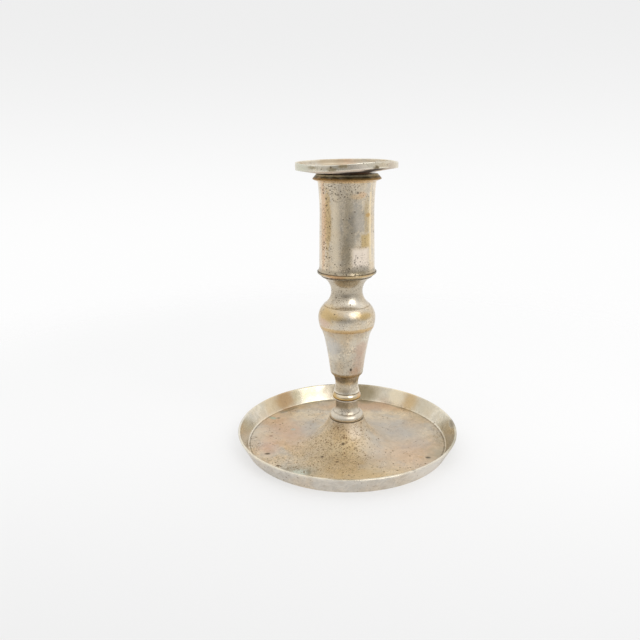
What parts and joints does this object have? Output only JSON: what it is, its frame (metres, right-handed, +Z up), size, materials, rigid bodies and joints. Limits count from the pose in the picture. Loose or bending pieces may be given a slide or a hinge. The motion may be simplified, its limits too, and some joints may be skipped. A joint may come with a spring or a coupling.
{
  "type": "candlestick",
  "caption": "Turned brass candlestick with worn plating: round dish base, baluster stem, tube socket and a loose drip pan that lifts off.",
  "frame": {"origin": "on the stem's axis, on the table under the dish", "axes": "+Z up the stem, -Y towards the viewer of the picture, +X to the viewer's right"},
  "size_m": [0.117, 0.117, 0.1482],
  "materials": {
    "plated_dish": "worn silver plate over brass, stained and pitted",
    "plated_stem": "worn silver plate over brass, gold at the edges",
    "plated_socket": "worn silver plate over brass, pitted",
    "plated_pan": "worn silver plate over brass, satin",
    "bare_brass": "bare polished brass",
    "dark_iron": "dull dark iron"
  },
  "bodies": {
    "stick": {"drip_tray": "plated_dish", "foot_spool": "plated_stem", "baluster_stem": "plated_stem", "socket_seat": "bare_brass", "candle_socket": "plated_socket", "tie_rod": "dark_iron", "base_washer": "dark_iron", "base_nut": "dark_iron"},
    "loose_pan": {"drip_pan": "plated_pan", "drip_pan_collar": "plated_pan"}
  },
  "joints": [
    {"name": "drip_pan_lift", "type": "slide", "parent": "stick", "child": "loose_pan", "axis": [0, 0, 1], "range_m": [0, 0.05]}
  ]
}
